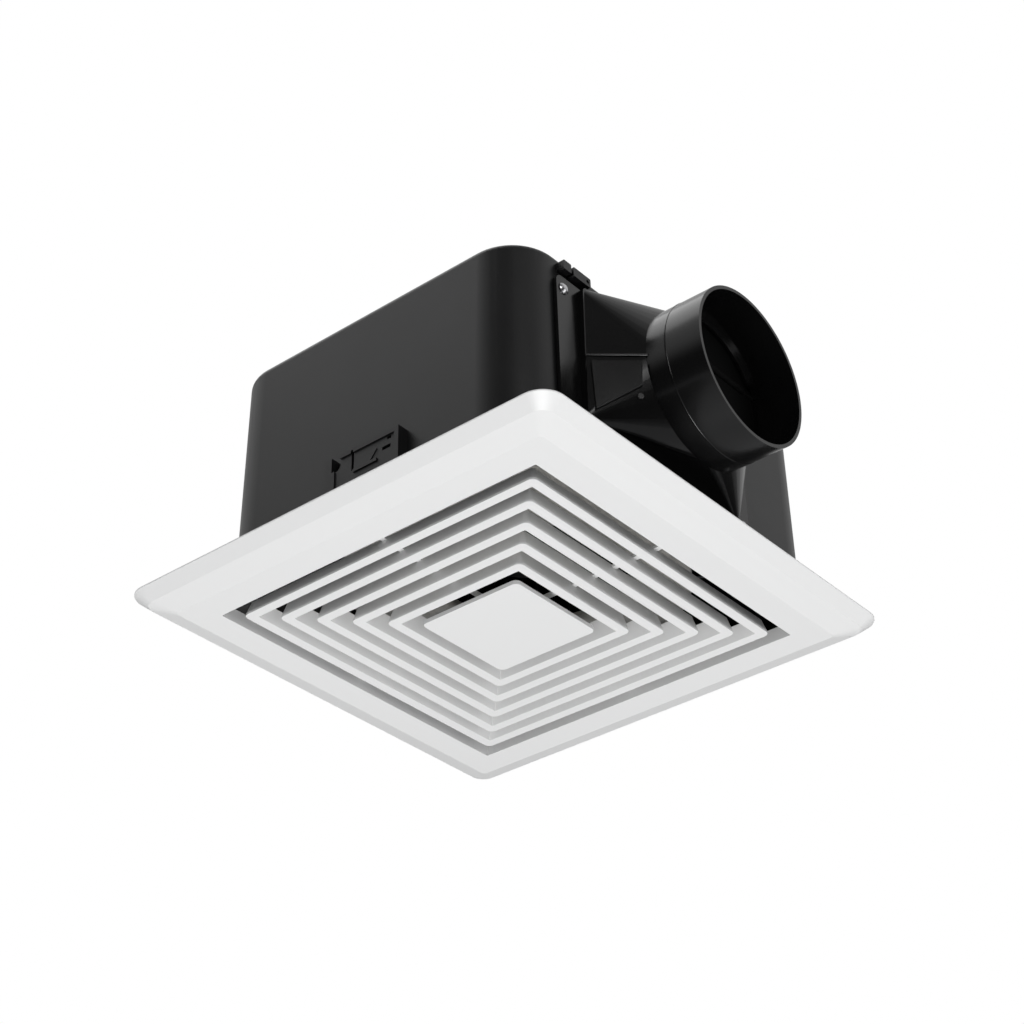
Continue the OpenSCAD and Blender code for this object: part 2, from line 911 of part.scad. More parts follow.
module impeller_nut() {
  color([0.7, 0.7, 0.72])
    translate([axis_x, axis_y, 0])
      difference() {
        rod(shaft_r + 3, dish_z - 14.2, dish_z - 9.2, 6);
        rod(shaft_r, dish_z - 15, dish_z - 9);
      }
}

// Wiring

module cable_gland() {
  // rubber bush in the cable entry
  outer = half_x - draft * wiring_z;
  color([0.05, 0.05, 0.05])
    translate([0, entry_y, wiring_z])
      difference() {
        union() {
          rod_x(9.8, -outer - 2, -outer + housing_wall + 2);
          rod_x(12.5, -outer - 2.4, -outer - 0.4);
          rod_x(12.5, -outer + housing_wall + 0.4, -outer + housing_wall + 2.4);
        }
        rod_x(4.5, -outer - 5, -outer + housing_wall + 5);
      }
}

module terminal_block() {
  color([0.85, 0.84, 0.8])
    difference() {
      union() {
        block(-78, -44, pad_y, pad_y + 4, wiring_z - 7, wiring_z + 7);
        block(-70, -52, pad_y, pad_y + 15, wiring_z - 8, wiring_z + 8);
      }
      for (x = [-74, -48])
        translate([x, 0, wiring_z])
          rod_y(1.6, pad_y - cut, pad_y + 6, 32);
      for (i = [0:2])
        translate([-67 + 6 * i, 0, wiring_z]) {
          rod_y(2.3, pad_y + 9, pad_y + 20, 32);
          translate([0, pad_y + 7, 0])
            rod(1.7, -12, 12, 32);
        }
    }
}

module terminal_screws() {
  color([0.78, 0.68, 0.4])
    for (i = [0:2])
      translate([-67 + 6 * i, 0, wiring_z])
        rod_y(2.2, pad_y + 9, pad_y + 13.5, 32);
}

module block_screws() {
  color([0.7, 0.7, 0.72])
    for (x = [-74, -48])
      translate([x, pad_y + 4, wiring_z]) {
        rod_y(1.4, -8, 0.5, 32);
        rod_y(2.8, 0, 1.8, 32);
      }
}

module wiring_cover() {
  // folded cover below the wiring space
  color([0.62, 0.63, 0.65])
    difference() {
      intersection() {
        union() {
          block(-118, -66, -150, entry_y + 15, cover_z, cover_z + 1.5);
          block(-118, -66, entry_y + 13.8, entry_y + 15, cover_z, cover_z + 48);
          block(-67.2, -66, entry_y - 12, entry_y + 15, cover_z, cover_z + 12);
        }
        inside_box(0.5, 0, inner_top - 0.5);
      }
      translate([-82, entry_y + 8, 0])
        rod(1.6, cover_z - 1, cover_z + 3, 32);
      block(-86.6, -77.4, entry_y + 3.4, entry_y + 16, cover_z + 1.7, cover_z + 49);
    }
}

module cover_screw() {
  color([0.7, 0.7, 0.72])
    translate([-82, entry_y + 8, cover_z])
      screw_up(1.4, 3.2, 1.8, 12);
}

module capacitor() {
  color([0.75, 0.75, 0.72])
    difference() {
      union() {
        block(34, 70, pad_y, pad_y + 17, wiring_z - 11, wiring_z + 13);
        block(46, 58, pad_y, pad_y + 2, wiring_z + 11, wiring_z + 21);
      }
      translate([52, 0, wiring_z + 17])
        rod_y(1.6, pad_y - cut, pad_y + 3, 32);
    }
}

module capacitor_screw() {
  color([0.7, 0.7, 0.72])
    translate([52, pad_y + 2, wiring_z + 17]) {
      rod_y(1.4, -5.8, 0.5, 32);
      rod_y(2.8, 0, 1.8, 32);
    }
}

// Direction of the wire's centre line at a point, and one corner of its section there
function unit(v) = v / norm(v);
function wire_dir(p, i) =
  i == 0 ? unit(p[1] - p[0]) :
  i == len(p) - 1 ? unit(p[i] - p[i - 1]) :
  unit(unit(p[i + 1] - p[i]) + unit(p[i] - p[i - 1]));
function wire_corner(p, i, j, r) =
  let (t = wire_dir(p, i), u = unit(cross(t, [1, 0, 0])), v = cross(t, u))
  p[i] + r * (cos(60 * j) * u + sin(60 * j) * v);

// Wire as one unbroken tube through a list of points
module wire(points, r) {
  n = len(points) - 1;
  polyhedron(
    points = [for (i = [0:n]) for (j = [0:5]) wire_corner(points, i, j, r)],
    faces = concat(
      [[for (j = [0:5]) j]],
      [[for (j = [5:-1:0]) n * 6 + j]],
      [for (i = [0:n - 1]) for (j = [0:5])
        [i * 6 + j, (i + 1) * 6 + j, (i + 1) * 6 + (j + 1) % 6, i * 6 + (j + 1) % 6]]),
    convexity = 4);
}

module motor_leads() {
  color([0.75, 0.12, 0.1]) {
    for (i = [0:2])
      wire([
        [axis_x + 3 * (i - 1), axis_y - 2, plate_z1 - 0.8],
        [axis_x + 3 * (i - 1), axis_y - 4, plate_z1 + 4.5],
        [-40 + 3 * i, -60 - 2 * i, plate_z1 + 5.5],
        [-67 + 6 * i, -110, plate_z1 - 6],
        [-67 + 6 * i, pad_y + 7, wiring_z + 17],
        [-67 + 6 * i, pad_y + 7, wiring_z + 3]], 1);
    // leads to the capacitor
    for (i = [0:1])
      wire([
        [axis_x - 1.2 + 2.4 * i, axis_y + 3, plate_z1 - 0.8],
        [axis_x - 1.2 + 2.4 * i, axis_y + 1.6 + 2.4 * i, plate_z1 + 7.4],
        [axis_x + 10 + 3 * i, axis_y - 4 + 1.5 * i, plate_z1 + 8],
        [46 + 8 * i, -70, plate_z1 + 4],
        [48 + 8 * i, pad_y + 10, wiring_z + 25],
        [48 + 8 * i, pad_y + 10, wiring_z + 13]], 0.9);
  }
}

// Grille springs

// Angle bracket on the wall, drawn for the front side
module spring_bracket() {
  y_wall = half_y - housing_wall - draft * 30 - 0.2;
  difference() {
    union() {
      block(grille_offset - shelf_end, 20, -y_wall, -y_wall + bracket_thickness, shelf_z0, 31);
      block(grille_offset - shelf_end, grille_offset + shelf_end, -y_wall, -spring_y + 8,
        shelf_z0, shelf_z0 + bracket_thickness);
    }
    for (p = bracket_screw_x)
      translate([p, 0, 24])
        rod_y(1.6, -half_y - 1, -half_y + 12, 32);
    // slots for the two legs
    block(grille_offset - slot_out, grille_offset - slot_in, -spring_y - leg_side - wire_r - 0.6,
      -spring_y - leg_side + wire_r + 0.6, shelf_z0 - cut, shelf_z0 + 4);
    block(grille_offset + slot_in, grille_offset + slot_out, -spring_y + leg_side - wire_r - 0.6,
      -spring_y + leg_side + wire_r + 0.6, shelf_z0 - cut, shelf_z0 + 4);
  }
}

module spring_bracket_front() {
  color([0.62, 0.63, 0.65])
    spring_bracket();
}

module spring_bracket_rear() {
  color([0.62, 0.63, 0.65])
    mirror([0, 1, 0])
      spring_bracket();
}

module bracket_screws() {
  head = half_y - housing_wall - draft * 30 - 0.2 - bracket_thickness;
  color([0.7, 0.7, 0.72])
    for (side = [0, 1])
      mirror([0, side, 0])
        for (p = bracket_screw_x)
          translate([p, -head, 24]) {
            rod_y(1.45, -4.8, 0.5, 32);
            rod_y(2.8, 0, 1.6, 32);
          }
}

// Coil as one closed tube round the Y axis, six-sided section
coil_steps = 24;
function coil_frame(i) = 360 * i / coil_steps;
function coil_point(i, j) =
  let (a = coil_frame(i), b = 60 * j, r = coil_r + wire_r * cos(b))
  [r * cos(a), (i / coil_steps - coil_turns / 2) * coil_pitch + wire_r * sin(b), r * sin(a)];

module coil() {
  n = coil_turns * coil_steps;
  polyhedron(
    points = [for (i = [0:n]) for (j = [0:5]) coil_point(i, j)],
    faces = concat(
      [[for (j = [0:5]) j]],
      [[for (j = [5:-1:0]) n * 6 + j]],
      [for (i = [0:n - 1]) for (j = [0:5])
        [i * 6 + j, (i + 1) * 6 + j, (i + 1) * 6 + (j + 1) % 6, i * 6 + (j + 1) % 6]]),
    convexity = 6);
}

echo(str("least gap between coil turns ", coil_pitch - wire_diameter));

module spring_coils() {
  color([0.8, 0.8, 0.82])
    for (side = [-1, 1])
      translate([grille_offset, side * spring_y, coil_z])
        coil();
}

// Spring leg at rest, in its own plane: part turn beside the coil, straight leg and bent end
turn_steps = 20;
bend_r = 2;
bend_steps = 5;
// Each entry is [x, z, angle of the outward normal below +X]
leg_path = concat(
  [for (i = [0:turn_steps])
    let (a = leg_angle + 300 * (1 - i / turn_steps))
    [coil_r * cos(a), -coil_r * sin(a), a]],
  [for (i = [0:bend_steps])
    let (a = leg_angle + 75 * i / bend_steps)
    [coil_r * cos(leg_angle) + leg_length * sin(leg_angle) + bend_r * (cos(leg_angle) - cos(a)),
      -coil_r * sin(leg_angle) + leg_length * cos(leg_angle) + bend_r * (sin(a) - sin(leg_angle)), a]],
  [let (a = leg_angle + 75)
    [coil_r * cos(leg_angle) + leg_length * sin(leg_angle) + bend_r * (cos(leg_angle) - cos(a)) + 5 * sin(a),
      -coil_r * sin(leg_angle) + leg_length * cos(leg_angle) + bend_r * (sin(a) - sin(leg_angle)) + 5 * cos(a), a]]);
function leg_corner(i, j) =
  let (p = leg_path[i], w = wire_r * cos(60 * j))
  [p[0] + w * cos(p[2]), wire_r * sin(60 * j), p[1] - w * sin(p[2])];

module spring_leg(dir, y) {
  n = len(leg_path) - 1;
  translate([grille_offset, y, coil_z])
    mirror([dir < 0 ? 1 : 0, 0, 0])
      polyhedron(
        points = [for (i = [0:n]) for (j = [0:5]) leg_corner(i, j)],
        faces = concat(
          [[for (j = [5:-1:0]) j]],
          [[for (j = [0:5]) n * 6 + j]],
          [for (i = [0:n - 1]) for (j = [0:5])
            [i * 6 + j, i * 6 + (j + 1) % 6, (i + 1) * 6 + (j + 1) % 6, (i + 1) * 6 + j]]),
        convexity = 6);
}

module spring_leg_fl() {
  color([0.8, 0.8, 0.82])
    spring_leg(-1, -spring_y - leg_side);
}

module spring_leg_fr() {
  color([0.8, 0.8, 0.82])
    spring_leg(1, -spring_y + leg_side);
}

module spring_leg_rl() {
  color([0.8, 0.8, 0.82])
    spring_leg(-1, spring_y + leg_side);
}

module spring_leg_rr() {
  color([0.8, 0.8, 0.82])
    spring_leg(1, spring_y - leg_side);
}

// Grille

// Square solid with upright walls and rounded corners
module square_prism(h, r, z0, z1) {
  translate([0, 0, z0])
    linear_extrude(z1 - z0)
      round_rect(2 * h, 2 * h, r);
}

// Square solid whose section is the given polygon on all four sides
module square_solid(h, points) {
  intersection() {
    translate([0, h, 0])
      rotate([90, 0, 0])
        linear_extrude(2 * h)
          polygon(points);
    rotate([0, 0, 90])
      translate([0, h, 0])
        rotate([90, 0, 0])
          linear_extrude(2 * h)
            polygon(points);
  }
}

// Louvre ring: flat bar below, blade above that leans to the centre
module louvre(h, z) {
  w = louvre_width;
  top = z + louvre_height;
  inner_lean = louvre_height * 0.21;
  difference() {
    intersection() {
      square_prism(h, 4, z, top);
      square_solid(h + 1, [[-h, z], [h, z], [h, z + 2], [h - louvre_lean, top], [louvre_lean - h, top], [-h, z + 2]]);
    }
    square_solid(h, [[w - h, z - cut], [h - w, z - cut], [h - w, z], [h - w - inner_lean, top + cut],
      [w + inner_lean - h, top + cut], [w - h, z]]);
  }
}

module rim_outer() {
  hull() {
    square_prism(half_grille, grille_corner, -0.8, 0);
    square_prism(half_grille - 7.8, grille_corner - 5.5, -7.2, -7.19);
    square_prism(half_grille - 22, 3, -grille_depth, -grille_depth + 0.01);
  }
}

module rim_inner() {
  t = grille_wall;
  hull() {
    square_prism(half_grille - t - 0.6, grille_corner - t, 0, cut);
    square_prism(half_grille - 7.8 - t, grille_corner - 6.5, -6.2, -6.19);
    square_prism(half_grille - 22.5, 3, -grille_depth + t, -grille_depth + t + 0.01);
  }
}

module spring_hook(side) {
  translate([0, side * spring_y, 0]) {
    // two cheeks and the pin through the coil
    for (s = [-1, 1])
      block(-4.5, 4.5, s * (leg_side + 2.4) - 1, s * (leg_side + 2.4) + 1, -grille_depth + 1, coil_z + 4.5);
    translate([0, 0, coil_z])
      rod_y(hook_pin, -leg_side - 2.4, leg_side + 2.4);
  }
}

module grille() {
  drop = plate_drop / 5;
  color([0.93, 0.93, 0.92])
    translate([grille_offset, 0, 0]) {
      difference() {
        rim_outer();
        difference() {
          rim_inner();
          // upright collar round the opening
          square_prism(opening_half + 2.4, 4, -grille_depth, -3);
        }
        square_solid(opening_half + 4, [[-opening_half, -grille_depth - cut], [opening_half, -grille_depth - cut],
          [opening_half, -grille_depth], [opening_half - 0.5, 1], [0.5 - opening_half, 1], [-opening_half, -grille_depth]]);
      }
      for (i = [0:4])
        louvre(bar_half - i * louvre_pitch, -grille_depth - i * drop);
      // centre plate
      square_prism(plate_half, 4, -grille_depth - plate_drop, -grille_depth - plate_drop + 2.7);
      // ribs behind the bars
      for (a = [0, 90])
        rotate(a) {
          block(-opening_half - 1, opening_half + 1, -rib_width / 2, rib_width / 2,
            -grille_depth + louvre_height - 2.6, -grille_depth + louvre_height - 0.2);
          block(-plate_half - 2 * louvre_pitch, plate_half + 2 * louvre_pitch, -rib_width / 2, rib_width / 2,
            -grille_depth + 2.6, -grille_depth + louvre_height - 2);
          block(-plate_half + 3, plate_half - 3, -rib_width / 2, rib_width / 2,
            -grille_depth - plate_drop + 2, -grille_depth + 4);
        }
      spring_hook(-1);
      spring_hook(1);
    }
}

housing();
duct_adapter();
adapter_gasket();
adapter_screws();
adapter_clip();
damper_flap();
damper_pin();
scroll_casing();
scroll_screws();
inlet_plate();
inlet_screws();
motor_plate();
motor_bushes();
motor_screws();
motor_upper_cover();
motor_lower_cover();
stator_core();
stator_windings();
motor_bearings();
motor_bolts();
motor_nuts();
motor_shaft();
rotor_core();
impeller();
impeller_washer();
impeller_nut();
cable_gland();
terminal_block();
terminal_screws();
block_screws();
wiring_cover();
cover_screw();
capacitor();
capacitor_screw();
motor_leads();
spring_bracket_front();
spring_bracket_rear();
bracket_screws();
grille();
spring_coils();
spring_leg_fl();
spring_leg_fr();
spring_leg_rl();
spring_leg_rr();
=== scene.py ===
import bmesh
import bpy
import json
import math
from mathutils import Matrix, Vector


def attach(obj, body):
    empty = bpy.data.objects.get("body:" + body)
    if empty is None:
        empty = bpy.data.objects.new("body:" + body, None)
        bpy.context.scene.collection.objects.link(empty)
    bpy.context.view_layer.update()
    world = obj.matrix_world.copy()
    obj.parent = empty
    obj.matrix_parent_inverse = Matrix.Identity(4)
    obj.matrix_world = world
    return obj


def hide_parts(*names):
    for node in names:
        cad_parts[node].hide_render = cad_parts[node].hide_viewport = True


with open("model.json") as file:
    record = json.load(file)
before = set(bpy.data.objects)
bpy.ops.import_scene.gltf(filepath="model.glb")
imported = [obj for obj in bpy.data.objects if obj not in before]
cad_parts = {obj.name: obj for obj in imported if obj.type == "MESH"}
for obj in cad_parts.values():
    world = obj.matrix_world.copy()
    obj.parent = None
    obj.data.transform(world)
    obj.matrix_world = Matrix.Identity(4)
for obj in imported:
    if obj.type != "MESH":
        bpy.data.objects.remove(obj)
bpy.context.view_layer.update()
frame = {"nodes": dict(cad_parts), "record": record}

MM = 0.001

scene = bpy.context.scene
scene.view_settings.view_transform = "Standard"


# Camera, from below at the photograph's angle, with its angles in degrees

CAMERA_PLACE = (0.7292, -0.8889, -0.69)
CAMERA_TURN = 39.707
CAMERA_TILT = 123.233
CAMERA_ROLL = -0.734
CAMERA_LENS = 79.74
SENSOR_WIDTH = 36.0


def add_camera():
    data = bpy.data.cameras.new("camera")
    data.sensor_width = SENSOR_WIDTH
    data.lens = CAMERA_LENS
    data.dof.use_dof = False
    camera = bpy.data.objects.new("camera", data)
    turn = Matrix.Rotation(math.radians(CAMERA_TURN), 4, "Z")
    tilt = Matrix.Rotation(math.radians(CAMERA_TILT), 4, "X")
    roll = Matrix.Rotation(math.radians(CAMERA_ROLL), 4, "Z")
    camera.matrix_world = Matrix.Translation(CAMERA_PLACE) @ turn @ tilt @ roll
    scene.collection.objects.link(camera)
    scene.camera = camera


add_camera()


# Light and surroundings

FILL_COLOUR = (0.97, 0.98, 1.0, 1.0)
FILL_STRENGTH = 0.42
BACKDROP_COLOUR = (1.0, 1.0, 1.0, 1.0)
BACKDROP_STRENGTH = 1.0

# Direction of the dim side, and fades: where one starts, where it ends, and the brightness at either end
DIM_SIDE = (0.57, -0.73, 0.38)
DIM_SIDE_FADE = (0.35, 0.92, 0.8, 0.1)
DIM_FLOOR_FADE = (0.1, 0.5, 0.04, 1.0)


def add_fade(tree, values):
    fade = tree.nodes.new("ShaderNodeMapRange")
    fade.interpolation_type = "SMOOTHSTEP"
    for socket, value in zip(("From Min", "From Max", "To Min", "To Max"), values):
        fade.inputs[socket].default_value = value
    return fade


def add_math(tree, operation):
    node = tree.nodes.new("ShaderNodeMath")
    node.operation = operation
    return node


def add_world():
    """White to the camera and pale to matt finishes. Glossy ones see it dimmed on one side and below."""
    world = bpy.data.worlds.new("studio")
    scene.world = world
    world.use_nodes = True
    tree = world.node_tree
    tree.nodes.clear()
    link = tree.links.new
    out = tree.nodes.new("ShaderNodeOutputWorld")
    path = tree.nodes.new("ShaderNodeLightPath")
    place = tree.nodes.new("ShaderNodeTexCoord")
    towards = tree.nodes.new("ShaderNodeVectorMath")
    towards.operation = "DOT_PRODUCT"
    towards.inputs[1].default_value = DIM_SIDE
    height = tree.nodes.new("ShaderNodeSeparateXYZ")
    side_fade = add_fade(tree, DIM_SIDE_FADE)
    floor_fade = add_fade(tree, DIM_FLOOR_FADE)
    both = add_math(tree, "MULTIPLY")
    fill = tree.nodes.new("ShaderNodeBackground")
    fill.inputs["Color"].default_value = FILL_COLOUR
    fill.inputs["Strength"].default_value = FILL_STRENGTH
    sheen = tree.nodes.new("ShaderNodeBackground")
    seen = tree.nodes.new("ShaderNodeBackground")
    seen.inputs["Color"].default_value = BACKDROP_COLOUR
    seen.inputs["Strength"].default_value = BACKDROP_STRENGTH
    either = add_math(tree, "MAXIMUM")
    glossy = tree.nodes.new("ShaderNodeMixShader")
    whole = tree.nodes.new("ShaderNodeMixShader")
    link(place.outputs["Generated"], towards.inputs[0])
    link(place.outputs["Generated"], height.inputs["Vector"])
    link(towards.outputs["Value"], side_fade.inputs["Value"])
    link(height.outputs["Z"], floor_fade.inputs["Value"])
    link(side_fade.outputs["Result"], both.inputs[0])
    link(floor_fade.outputs["Result"], both.inputs[1])
    link(both.outputs[0], sheen.inputs["Strength"])
    link(path.outputs["Is Glossy Ray"], glossy.inputs["Fac"])
    link(fill.outputs[0], glossy.inputs[1])
    link(sheen.outputs[0], glossy.inputs[2])
    link(path.outputs["Is Camera Ray"], either.inputs[0])
    link(path.outputs["Is Transmission Ray"], either.inputs[1])
    link(either.outputs[0], whole.inputs["Fac"])
    link(glossy.outputs[0], whole.inputs[1])
    link(seen.outputs[0], whole.inputs[2])
    link(whole.outputs[0], out.inputs["Surface"])


def add_lamp(name, place, aim_height, size, power):
    """Rectangular lamp that faces the middle of the fan at a height."""
    data = bpy.data.lights.new(name, "AREA")
    data.shape = "RECTANGLE"
    data.size, data.size_y = size
    data.energy = power
    lamp = bpy.data.objects.new(name, data)
    lamp.location = place
    aim = Vector((0.0, 0.0, aim_height)) - Vector(place)
    lamp.rotation_mode = "QUATERNION"
    lamp.rotation_quaternion = aim.to_track_quat("-Z", "Y")
    scene.collection.objects.link(lamp)


add_world()
add_lamp("upper_left_lamp", place=(-1.1, -0.35, 2.3), aim_height=0.05, size=(1.8, 1.8), power=11.0)
add_lamp("right_side_lamp", place=(2.1, 0.9, -0.3), aim_height=0.03, size=(1.0, 1.4), power=8.0)
add_lamp("front_right_lamp", place=(1.68, -1.15, 0.52), aim_height=0.05, size=(0.7, 0.7), power=6.0)
add_lamp("low_lamp", place=(0.34, -0.46, -1.78), aim_height=0.0, size=(1.1, 1.1), power=25.0)


# Effects that several finishes share

def shader_group(name, takes, gives):
    tree = bpy.data.node_groups.new(name, "ShaderNodeTree")
    for socket, kind, value in takes:
        made = tree.interface.new_socket(name=socket, in_out="INPUT", socket_type=kind)
        made.default_value = value
    for socket, kind in gives:
        tree.interface.new_socket(name=socket, in_out="OUTPUT", socket_type=kind)
    return tree, tree.nodes.new("NodeGroupInput"), tree.nodes.new("NodeGroupOutput")


def make_moulded_grain():
    """Height of the fine texture that a spark-worn mould leaves, with slow flow waves under it."""
    tree, takes, gives = shader_group(
        "moulded_grain",
        [("Grain Scale", "NodeSocketFloat", 1800.0), ("Grain Depth", "NodeSocketFloat", 0.5),
         ("Wave Scale", "NodeSocketFloat", 28.0), ("Wave Depth", "NodeSocketFloat", 1.0)],
        [("Height", "NodeSocketFloat")])
    link = tree.links.new
    place = tree.nodes.new("ShaderNodeTexCoord")
    grain = tree.nodes.new("ShaderNodeTexNoise")
    grain.inputs["Detail"].default_value = 2.0
    wave = tree.nodes.new("ShaderNodeTexNoise")
    wave.inputs["Detail"].default_value = 1.0
    fine = add_math(tree, "MULTIPLY")
    slow = add_math(tree, "MULTIPLY_ADD")
    link(place.outputs["Object"], grain.inputs["Vector"])
    link(place.outputs["Object"], wave.inputs["Vector"])
    link(takes.outputs["Grain Scale"], grain.inputs["Scale"])
    link(takes.outputs["Wave Scale"], wave.inputs["Scale"])
    link(grain.outputs["Fac"], fine.inputs[0])
    link(takes.outputs["Grain Depth"], fine.inputs[1])
    link(wave.outputs["Fac"], slow.inputs[0])
    link(takes.outputs["Wave Depth"], slow.inputs[1])
    link(fine.outputs[0], slow.inputs[2])
    link(slow.outputs[0], gives.inputs["Height"])
    return tree


def make_handling_marks():
    """Colour and roughness of a surface with faint smears and a little dust."""
    tree, takes, gives = shader_group(
        "handling_marks",
        [("Colour", "NodeSocketColor", (0.5, 0.5, 0.5, 1.0)),
         ("Dust", "NodeSocketColor", (0.5, 0.5, 0.48, 1.0)),
         ("Dust Amount", "NodeSocketFloat", 0.05), ("Roughness", "NodeSocketFloat", 0.4),
         ("Smear", "NodeSocketFloat", 0.08), ("Scale", "NodeSocketFloat", 14.0)],
        [("Colour", "NodeSocketColor"), ("Roughness", "NodeSocketFloat")])
    link = tree.links.new
    place = tree.nodes.new("ShaderNodeTexCoord")
    cloud = tree.nodes.new("ShaderNodeTexNoise")
    cloud.inputs["Detail"].default_value = 5.0
    cloud.inputs["Roughness"].default_value = 0.6
    settle = tree.nodes.new("ShaderNodeMapRange")
    settle.inputs["From Min"].default_value = 0.45
    settle.inputs["From Max"].default_value = 0.75
    share = add_math(tree, "MULTIPLY")
    blend = tree.nodes.new("ShaderNodeMix")
    blend.data_type = "RGBA"
    centre = add_math(tree, "SUBTRACT")
    centre.inputs[1].default_value = 0.5
    swing = add_math(tree, "MULTIPLY_ADD")
    swing.use_clamp = True
    link(place.outputs["Object"], cloud.inputs["Vector"])
    link(takes.outputs["Scale"], cloud.inputs["Scale"])
    link(cloud.outputs["Fac"], settle.inputs["Value"])
    link(settle.outputs["Result"], share.inputs[0])
    link(takes.outputs["Dust Amount"], share.inputs[1])
    link(share.outputs[0], blend.inputs["Factor"])
    link(takes.outputs["Colour"], blend.inputs["A"])
    link(takes.outputs["Dust"], blend.inputs["B"])
    link(cloud.outputs["Fac"], centre.inputs[0])
    link(centre.outputs[0], swing.inputs[0])
    link(takes.outputs["Smear"], swing.inputs[1])
    link(takes.outputs["Roughness"], swing.inputs[2])
    link(blend.outputs["Result"], gives.inputs["Colour"])
    link(swing.outputs[0], gives.inputs["Roughness"])
    return tree


def make_metal_crystals():
    """Shade of the crystals in a zinc coat, or of drawn lines when it is stretched."""
    tree, takes, gives = shader_group(
        "metal_crystals",
        [("Scale", "NodeSocketFloat", 160.0), ("Contrast", "NodeSocketFloat", 0.2),
         ("Stretch", "NodeSocketVector", (1.0, 1.0, 1.0))],
        [("Shade", "NodeSocketFloat")])
    link = tree.links.new
    place = tree.nodes.new("ShaderNodeTexCoord")
    pull = tree.nodes.new("ShaderNodeVectorMath")
    pull.operation = "MULTIPLY"
    cells = tree.nodes.new("ShaderNodeTexVoronoi")
    grey = tree.nodes.new("ShaderNodeSeparateColor")
    spread = add_math(tree, "MULTIPLY")
    lift = add_math(tree, "SUBTRACT")
    lift.inputs[0].default_value = 1.0
    link(place.outputs["Object"], pull.inputs[0])
    link(takes.outputs["Stretch"], pull.inputs[1])
    link(pull.outputs["Vector"], cells.inputs["Vector"])
    link(takes.outputs["Scale"], cells.inputs["Scale"])
    link(cells.outputs["Color"], grey.inputs["Color"])
    link(grey.outputs["Red"], spread.inputs[0])
    link(takes.outputs["Contrast"], spread.inputs[1])
    link(spread.outputs[0], lift.inputs[1])
    link(lift.outputs[0], gives.inputs["Shade"])
    return tree


moulded_grain = make_moulded_grain()
handling_marks = make_handling_marks()
metal_crystals = make_metal_crystals()


# Finishes, whose bump is the height of their relief in metres

def place_group(tree, group, **values):
    node = tree.nodes.new("ShaderNodeGroup")
    node.node_tree = group
    for socket, value in values.items():
        node.inputs[socket.replace("_", " ").title()].default_value = value
    return node


def finish_of(name):
    material = bpy.data.materials.new(name)
    material.use_nodes = True
    return material, material.node_tree, material.node_tree.nodes["Principled BSDF"]


def add_bump(tree, bsdf, height, distance):
    bump = tree.nodes.new("ShaderNodeBump")
    bump.inputs["Distance"].default_value = distance
    bump.inputs["Strength"].default_value = 1.0
    tree.links.new(height, bump.inputs["Height"])
    tree.links.new(bump.outputs["Normal"], bsdf.inputs["Normal"])


def moulded(name, colour, roughness, grain_scale=1800.0, grain_depth=0.5, wave_depth=1.0, bump=0.00004,
            dust=0.03, dust_colour=(0.35, 0.34, 0.32), smear=0.1, sheen_level=0.5):
    """Moulded plastic or rubber, or another surface that isn't bare metal."""
    material, tree, bsdf = finish_of(name)
    bsdf.inputs["Specular IOR Level"].default_value = sheen_level
    marks = place_group(tree, handling_marks, colour=(*colour, 1.0), dust=(*dust_colour, 1.0),
                        dust_amount=dust, roughness=roughness, smear=smear)
    grain = place_group(tree, moulded_grain, grain_scale=grain_scale, grain_depth=grain_depth,
                        wave_depth=wave_depth)
    tree.links.new(marks.outputs["Colour"], bsdf.inputs["Base Color"])
    tree.links.new(marks.outputs["Roughness"], bsdf.inputs["Roughness"])
    add_bump(tree, bsdf, grain.outputs["Height"], bump)
    return material


def worked_metal(name, colour, roughness, crystal_scale, contrast, stretch=(1.0, 1.0, 1.0), bump=0.00001):
    """Sheet, turned, drawn or plated metal."""
    material, tree, bsdf = finish_of(name)
    bsdf.inputs["Metallic"].default_value = 1.0
    crystals = place_group(tree, metal_crystals, scale=crystal_scale, contrast=contrast, stretch=stretch)
    shade = tree.nodes.new("ShaderNodeVectorMath")
    shade.operation = "SCALE"
    shade.inputs[0].default_value = colour
    marks = place_group(tree, handling_marks, dust=(0.3, 0.29, 0.27, 1.0), dust_amount=0.05,
                        roughness=roughness, smear=0.2, scale=30.0)
    tree.links.new(crystals.outputs["Shade"], shade.inputs["Scale"])
    tree.links.new(shade.outputs["Vector"], marks.inputs["Colour"])
    tree.links.new(marks.outputs["Colour"], bsdf.inputs["Base Color"])
    tree.links.new(marks.outputs["Roughness"], bsdf.inputs["Roughness"])
    add_bump(tree, bsdf, crystals.outputs["Shade"], bump)
    return material


# Metres along x, y and z together over which a diagonal wave texture of scale 1 goes from dark to light
HALF_WAVE = 0.314


def wound_wire(name, colour, pitch):
    """Enamelled wire lying turn on turn."""
    material, tree, bsdf = finish_of(name)
    bsdf.inputs["Metallic"].default_value = 0.7
    place = tree.nodes.new("ShaderNodeTexCoord")
    turns = tree.nodes.new("ShaderNodeTexWave")
    turns.wave_type = "BANDS"
    turns.bands_direction = "DIAGONAL"
    turns.inputs["Scale"].default_value = HALF_WAVE / pitch
    turns.inputs["Distortion"].default_value = 1.5
    marks = place_group(tree, handling_marks, colour=(*colour, 1.0), dust=(0.12, 0.05, 0.02, 1.0),
                        dust_amount=0.4, roughness=0.35, smear=0.2, scale=60.0)
    tree.links.new(place.outputs["Object"], turns.inputs["Vector"])
    tree.links.new(marks.outputs["Colour"], bsdf.inputs["Base Color"])
    tree.links.new(marks.outputs["Roughness"], bsdf.inputs["Roughness"])
    add_bump(tree, bsdf, turns.outputs["Fac"], 0.0003)
    return material


